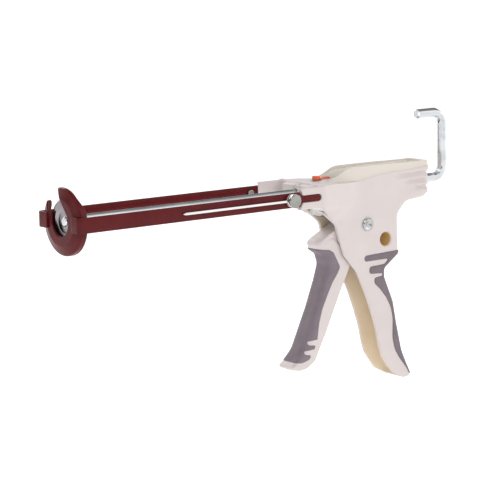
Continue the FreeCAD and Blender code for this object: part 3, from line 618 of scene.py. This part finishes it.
moulded("trigger_body", trigger, 0.55, "cream_plastic", "trigger", "trigger_lever")

PAD = rounded([
    (262, -50.8), (276, -52.3, 3), (280.8, -55.2, 3), (288.6, -69.4, 3.5), (285.2, -75.4, 4),
    (279.2, -83, 10), (273.2, -94, 20), (267.3, -106, 20), (263.7, -117.6, 20), (261.4, -132.9, 1),
    (250.6, -133.4, 1.6), (250.8, -136.4, 1.6), (259.6, -137.6, 1.7), (258, -141.2, 1.7),
    (246.6, -142, 1.5), (247, -144.6, 1.5), (255, -146, 1.8), (251.5, -150.3, 4),
    (243, -152.2, 6), (233, -150.9, 3), (216, -146)])


def trigger_rubber(x, y, z):
    """A skin over the finger part, within the pad's outline."""
    outside = fingers_outside(x, y, z)
    return both(slab(outside, -RUBBER_DEPTH, PAD_SKIN), outline(PAD, x, z), 1.2)


# The trigger pad wears the lighter rubber, which is painted light.
moulded("trigger_rubber", trigger_rubber, 0.5, "grey_rubber", "trigger", "trigger_pad", look=painted_light_pad_rubber)


# ================================================================ cradle

plate_high = millimetres("front_plate")[1]
plate_radius = plate_high.y
SHEET = 1.6
PRESSED = rounded([(-3, -1), (-3, 20, 3), (0.1, plate_radius, 2.2), (plate_high.x, plate_radius, 0.5),
                   (plate_high.x, plate_radius - SHEET, 0.5), (SHEET, plate_radius - SHEET, 1.8),
                   (SHEET - 3, 19.4, 3), (SHEET - 3, -1)])
FRONT_TRIM = 2.2
NOTCH_RADIUS = 11.8
NEAR_LEAN, FAR_LEAN = math.radians(51), math.radians(58)      # how far the notch's two sides lean


def pressed_plate(x, y, z):
    """A pressed cup with a rolled shoulder, open at the top for the nozzle."""
    sheet = outline(PRESSED, x, np.hypot(y, z))
    trimmed = x - plate_high.x + (plate_high.x - FRONT_TRIM) * step(9, 23, z)
    sheet = both(sheet, trimmed, 0.4)
    near = z * math.cos(NEAR_LEAN) - y * math.sin(NEAR_LEAN)
    far = y * math.sin(FAR_LEAN) - z * math.cos(FAR_LEAN)
    lean = (NEAR_LEAN + FAR_LEAN) / 2
    beyond = y * math.cos(lean) + z * math.sin(lean) > 0
    notch = np.where(beyond, np.maximum(near, far), np.hypot(y, z)) - NOTCH_RADIUS
    return without(sheet, notch, 0.9)


moulded("nozzle_plate", pressed_plate, 0.36, "red_steel", "frame", "front_plate")


def strip_rail(node, name, side):
    """A steel strip bent over the front plate, with a tongue at its rear end."""
    low, high = millimetres(node)
    half, steel, edge, tongue = high.z, 1.8, 0.35, 3.0
    outer = max(abs(low.y), abs(high.y))
    middle = outer - steel / 2
    fold_end = outer - (13.5 if side > 0 else 11)
    front, bend, end = low.x + steel / 2, 1.9, high.x
    shoulder, shoulder_round, end_round = stud.x + 10, 1.5, 1.2
    places = [end - tongue * (1 - math.cos(math.radians(a))) for a in (0, 12, 25, 40, 55, 72, 90)]
    places += [shoulder + 2.2, shoulder + 1.2]
    places += [shoulder - shoulder_round * (1 - math.sin(math.radians(a))) for a in (90, 68, 45, 22, 0)]
    places += list(np.linspace(shoulder - 6, front + bend + 1, 40))
    stations = []          # plan position, plan direction, half height
    for x in places:
        if x > end - tongue:
            height = math.sqrt(max(tongue ** 2 - (x - end + tongue) ** 2, 0.04))
        elif x > shoulder + 1:
            height = tongue + 0.4 * max(0, shoulder + 2.2 - x)
        elif x > shoulder - shoulder_round:
            fall = shoulder_round ** 2 - (x - shoulder + shoulder_round) ** 2
            height = half - shoulder_round + math.sqrt(max(fall, 0))
        else:
            height = half
        stations.append((Vector((x, middle, 0)), Vector((-1, 0, 0)), height))
    for degrees in range(0, 91, 9):
        a = math.radians(degrees)
        place = Vector((front + bend - bend * math.sin(a), middle - bend + bend * math.cos(a), 0))
        stations.append((place, Vector((-math.cos(a), -math.sin(a), 0)), half))
    for y in (middle - bend - 2, fold_end + end_round):
        stations.append((Vector((front, y, 0)), Vector((0, -1, 0)), half))
    for inset in (0.9, 0.3, 0.0):
        height = half - end_round + math.sqrt(max(end_round ** 2 - (end_round - inset) ** 2, 0))
        stations.append((Vector((front, fold_end + inset, 0)), Vector((0, -1, 0)), height))
    sections = []
    for place, ahead, height in stations:
        normal = Vector((-ahead.y, ahead.x, 0))
        corner = min(edge, height * 0.8)
        section = []
        for sn, sh, first in ((1, 1, 0), (-1, 1, 90), (-1, -1, 180), (1, -1, 270)):
            for turn in (0, 30, 60, 90):
                a = math.radians(first + turn)
                n = sn * (steel / 2 - corner) + corner * math.cos(a)
                h = sh * (height - corner) + corner * math.sin(a)
                point = place + normal * n + Vector((0, 0, h))
                section.append(Vector((point.x, point.y * side, point.z)))
        sections.append(section)
    vertices, faces = lofted(sections)
    piece(name, vertices, faces, "red_steel", "frame", node, sharp=50)


strip_rail("near_rail", "rail_near", -1)
strip_rail("far_rail", "rail_far", 1)


HEAD_HEIGHT = 2.8


def rivet_stud(name, side, head_from):
    """A shank through the rail with a flat round head outside and a riveted end inside."""
    inner_end, collar_from, head_top = 26.4, 30.65, head_from + HEAD_HEIGHT
    head, shank, rivet, collar = 6.2, 3.0, 3.6, 3.4
    profile = [(inner_end, 0), (inner_end, rivet, 1.1), (RAIL_SEAT, rivet, 0.2), (RAIL_SEAT, shank),
               (collar_from, shank), (collar_from, collar), (head_from, collar), (head_from, head, 0.5),
               (head_from + HEAD_HEIGHT * 0.72, head, 0.6), (head_top, head - 0.7, 0.6),
               (head_top, 1.0, 0.3), (head_top - 0.25, 0)]
    vertices, faces = turned(rounded(profile), stud, (0, side, 0))
    piece(name, vertices, faces, "zinc_steel", "frame", "rail_studs", sharp=40, look=dull_zinc)


rivet_stud("stud_near", -1, -stud_low.y - HEAD_HEIGHT)
rivet_stud("stud_far", 1, stud_high.y - HEAD_HEIGHT)


# ================================================================ rod, hook and push plate

rod_low, rod_high = millimetres("push_rod")
HOOK_BACK, HOOK_TIP, HOOK_BEND = 421.0, 389.0, 11.0      # along the bar's middle line
corner_radius = rod_high.x - HOOK_BACK
hook_top = rod_high.z - corner_radius
bend_start = HOOK_BACK - HOOK_BEND


def hex_section(radius, corner=0.55):
    """A hexagon with corners above and below and small rounded edges."""
    corners = [(radius * math.sin(math.radians(60 * k)), radius * math.cos(math.radians(60 * k)), corner)
               for k in range(6)]
    return rounded(corners, 3)


path = [Vector((x, 0, 0)) for x in np.linspace(rod_low.x + 0.8, bend_start - 0.5, 30)]
path += arc((bend_start, HOOK_BEND), HOOK_BEND, -90, 0, 24)
path += [Vector((HOOK_BACK, 0, z)) for z in np.linspace(HOOK_BEND + 1, hook_top - HOOK_BEND - 1, 8)]
path += arc((bend_start, hook_top - HOOK_BEND), HOOK_BEND, 0, 90, 24)
path += [Vector((x, 0, hook_top)) for x in np.linspace(bend_start - 1, HOOK_TIP + 1.1, 5)]
FRONT_CHAMFER, TIP_CHAMFER = 0.86, 0.74
scales = [FRONT_CHAMFER] + [1.0] * len(path) + [TIP_CHAMFER]
path = [Vector((rod_low.x, 0, 0))] + path + [Vector((HOOK_TIP, 0, hook_top))]
vertices, faces = lofted(swept(path, hex_section(corner_radius), scales=scales))
piece("hex_push_bar", vertices, faces, "zinc_steel", "rod", "push_rod", sharp=35)

disc_low, disc_high = millimetres("push_plate")
disc_radius, disc_bore, dish, disc_sheet = disc_high.y, 3.05, 1.2, 1.5
face, back = disc_low.x + dish, disc_high.x
vertices, faces = turned(rounded([
    (face, disc_bore), (face, 9.6, 2.5), (face - dish, 13, 2.5), (face - dish, disc_radius - 2.6, 3),
    (face + 3, disc_radius, 1.2), (back, disc_radius - 0.2, 0.5), (back, disc_radius - disc_sheet, 0.5),
    (face + 0.4, disc_radius - 3.6, 2), (face + 0.3, 13.8, 2), (face + disc_sheet, 10.4, 2),
    (face + disc_sheet, disc_bore)]), (0, 0, 0), (1, 0, 0), 128)
# The push disc wears the darker zinc, which is painted shade.
piece("push_disc", vertices, faces, "zinc_steel", "rod", "push_plate", sharp=60, look=painted_shade_disc_zinc)


# ================================================================ seal needle

needle_low, needle_high = millimetres("puncture_needle")
wire = (needle_high.y - needle_low.y) / 2
needle_plane = (needle_high.y + needle_low.y) / 2
eye = needle_high.z - wire
BEND, EYE_TURN = 4.0, 322
reach = math.sqrt((BEND + eye) ** 2 - BEND ** 2)
bend_centre = (stud.x - reach, -BEND)
meet = math.degrees(math.atan2(BEND, reach))
path = [Vector((x, 0, 0)) for x in np.linspace(needle_low.x + 3, bend_centre[0] - 0.5, 24)]
path += arc(bend_centre, BEND, 90, meet, 10)
path += arc((stud.x, 0), eye, 180 + meet, 180 + meet + EYE_TURN, 64)[1:]
tip = [Vector((needle_low.x + d, 0, 0)) for d in (0, 0.5, 1.5)]
scales = [0.3, 0.5, 0.8] + [1.0] * len(path)
path = [p + Vector((0, needle_plane, 0)) for p in tip + path]
vertices, faces = lofted(swept(path, circle(wire, 20), scales=scales))
piece("seal_needle", vertices, faces, "chrome", "needle", "puncture_needle", sharp=60)


# ================================================================ release tab

tab_low, tab_high = millimetres("release_tab")
BRIDGE_LOW, BRIDGE_TOP, TAB_END_TOP = 10.9, 11.6, 12.6
TAB = rounded([(tab_low.x, tab_low.z, 0.8), (tab_low.x + 5.3, tab_low.z, 0.6),
               (tab_low.x + 5.7, BRIDGE_LOW, 0.3), (tab_high.x, BRIDGE_LOW, 0.4),
               (tab_high.x, TAB_END_TOP, 0.6), (tab_high.x - 5.2, TAB_END_TOP, 0.6),
               (tab_high.x - 5.6, BRIDGE_TOP, 0.3), (tab_low.x + 5.9, BRIDGE_TOP, 0.6),
               (tab_low.x + 5.3, tab_high.z - 0.4, 1), (tab_low.x + 0.5, tab_high.z, 1)])


def thumb_tab(x, y, z):
    """A cap over the brake plate's end with two grooves on top, a low bridge and a raised end."""
    body = both(outline(TAB, x, z), np.abs(y) - tab_high.y, 1.2)
    for k in range(2):
        groove = disc(x, z, (tab_low.x + 1.7 + 1.7 * k, tab_high.z + 0.2 - 0.1 * k), 0.5)
        body = without(body, groove, 0.3)
    return body


moulded("thumb_tab", thumb_tab, 0.2, "orange_plastic", "brake", "release_tab")


# ================================================================ pivot bolt and drive spring

# The pivot bolt: a shank with a low round head, dished in the middle.
seat, bolt_shank, bolt_head = WIDTH + 0.02, 3.0, 6.0
vertices, faces = turned(rounded([
    (-bolt_high.y, 0), (-bolt_high.y, bolt_shank, 0.3), (seat, bolt_shank), (seat, 5.4), (seat + 0.3, 5.4),
    (seat + 0.3, bolt_head, 0.2), (seat + 1.1, bolt_head, 0.8), (seat + 2.3, 4.5, 0.6),
    (seat + 2.0, 3.3, 0.4), (seat + 0.9, 1.6, 1.2), (seat + 0.7, 0)]),
    (pivot[0], 0, pivot[1]), (0, -1, 0), 64)
piece("pivot_pin", vertices, faces, "chrome", "frame", "pivot_bolt", sharp=50, look=pin_chrome)

# The drive spring: a coil round the rod at its rest length. The real spring shortens as the trigger pushes
# the drive plate forward; nothing here shortens it.
spring_low, spring_high = millimetres("drive_spring")
SPRING_WIRE, SPRING_TURNS, TURN_STEPS = 0.9, 6, 36
coil = spring_high.z - SPRING_WIRE
advance = (spring_high.x - spring_low.x - 2 * SPRING_WIRE) / (SPRING_TURNS * TURN_STEPS)
path = []
for k in range(SPRING_TURNS * TURN_STEPS + 1):
    a = 2 * math.pi * k / TURN_STEPS
    path.append(Vector((spring_low.x + SPRING_WIRE + advance * k, coil * math.sin(a), -coil * math.cos(a))))
vertices, faces = lofted(swept(path, circle(SPRING_WIRE, 14), across=Vector((1, 0, 0))))
spring = piece("drive_coil", vertices, faces, "spring_steel", "frame", "drive_spring", sharp=60)
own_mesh(spring)

# Small hard pieces keep their CAD shape with broken edges.
BROKEN_EDGE = 0.0002
for name in ("pivot_nut", "plate_rivet", "plate_washer", "drive_plate", "brake_plate", "spring_seat",
             "front_guide_bush", "rear_guide_bush", "pivot_bush", "drive_roller", "roller_pin", "brake_pin",
             "needle_washer"):
    edge = frame["nodes"][name].modifiers.new("broken_edges", "BEVEL")
    edge.width = BROKEN_EDGE
    edge.segments = 2
    edge.limit_method = "ANGLE"
    edge.angle_limit = math.radians(50)
    edge.harden_normals = False


# ================================================================ floor, light, camera

FLOOR_REACH, FLOOR_DROP = 40.0, 0.12      # how far it runs, and its distance under the object, in metres

floor_mesh = bpy.data.meshes.new("studio_floor")
floor_height = cad_low.z - FLOOR_DROP
signs = ((-1, -1), (1, -1), (1, 1), (-1, 1))
floor_corners = [(x * FLOOR_REACH, y * FLOOR_REACH, floor_height) for x, y in signs]
floor_mesh.from_pydata(floor_corners, [], [(0, 1, 2, 3)])
paper = bpy.data.materials.new("floor_paper")
paper.use_nodes = True
paper_shader = paper.node_tree.nodes["Principled BSDF"]
paper_shader.inputs["Base Color"].default_value = (0.93, 0.93, 0.93, 1)
paper_shader.inputs["Roughness"].default_value = 0.9
paper_shader.inputs["Specular IOR Level"].default_value = 0.1
paper_shader.inputs["Emission Color"].default_value = (1, 1, 1, 1)
paper_shader.inputs["Emission Strength"].default_value = 0.42
floor_mesh.materials.append(paper)
floor = bpy.data.objects.new("studio_floor", floor_mesh)
bpy.context.scene.collection.objects.link(floor)

# White all round, brighter in some directions than in others, so that metal has something to reflect.
world = bpy.data.worlds.new("studio")
bpy.context.scene.world = world
world.use_nodes = True
sky = world.node_tree.nodes["Background"]
sky.inputs["Color"].default_value = (1, 1, 1, 1)
direction = world.node_tree.nodes.new("ShaderNodeTexCoord")
clouds = world.node_tree.nodes.new("ShaderNodeTexNoise")
clouds.inputs["Scale"].default_value = 1.5
clouds.inputs["Detail"].default_value = 1.0
levels = world.node_tree.nodes.new("ShaderNodeMapRange")
levels.inputs["From Min"].default_value = 0.38
levels.inputs["From Max"].default_value = 0.62
levels.inputs["To Min"].default_value = 0.2
levels.inputs["To Max"].default_value = 1.5
world.node_tree.links.new(direction.outputs["Generated"], clouds.inputs["Vector"])
world.node_tree.links.new(clouds.outputs["Fac"], levels.inputs["Value"])
world.node_tree.links.new(levels.outputs["Result"], sky.inputs["Strength"])

centre = (cad_low + cad_high) / 2


def softbox(name, place, width, height, power):
    """A rectangular light that faces the object's middle."""
    light = bpy.data.lights.new(name, "AREA")
    light.shape = "RECTANGLE"
    light.size, light.size_y, light.energy = width, height, power
    obj = bpy.data.objects.new(name, light)
    obj.location = centre + Vector(place)
    obj.rotation_mode = "QUATERNION"
    obj.rotation_quaternion = (-Vector(place)).to_track_quat("-Z", "Y")
    bpy.context.scene.collection.objects.link(obj)


softbox("key_light", (-0.9, -1.5, 1.5), 1.4, 1.0, 4.5)
softbox("top_light", (0.2, 0.3, 2.2), 2.4, 1.6, 5)
softbox("side_light", (1.9, -1.2, 0.5), 0.7, 1.4, 1.5)
softbox("fill_light", (-1.7, -1.5, 0.0), 0.8, 0.8, 2.2)
softbox("rim_light", (0.0, 1.7, 1.3), 1.6, 0.3, 9)

AZIMUTH, ELEVATION, ROLL = (math.radians(a) for a in (-37.36, 9.24, -0.70))
CAMERA_PLACE, LENS, SENSOR = (-0.9681, -1.5113, 0.2721), 163.3, 36.0
level = math.cos(ELEVATION)
back = Vector((math.sin(AZIMUTH) * level, -math.cos(AZIMUTH) * level, math.sin(ELEVATION)))
right = Vector((math.cos(AZIMUTH), math.sin(AZIMUTH), 0))
up = back.cross(right)
turned_right = right * math.cos(ROLL) + up * math.sin(ROLL)
turned_up = up * math.cos(ROLL) - right * math.sin(ROLL)
camera_data = bpy.data.cameras.new("photo_camera")
camera_data.sensor_width, camera_data.lens = SENSOR, LENS
camera_data.clip_start, camera_data.clip_end = 0.05, 200
camera = bpy.data.objects.new("photo_camera", camera_data)
facing = Matrix((turned_right, turned_up, back)).transposed().to_4x4()
camera.matrix_world = Matrix.Translation(CAMERA_PLACE) @ facing
bpy.context.scene.collection.objects.link(camera)
bpy.context.scene.camera = camera

bpy.context.scene.view_settings.view_transform = "Standard"
bpy.context.scene.view_settings.look = "None"
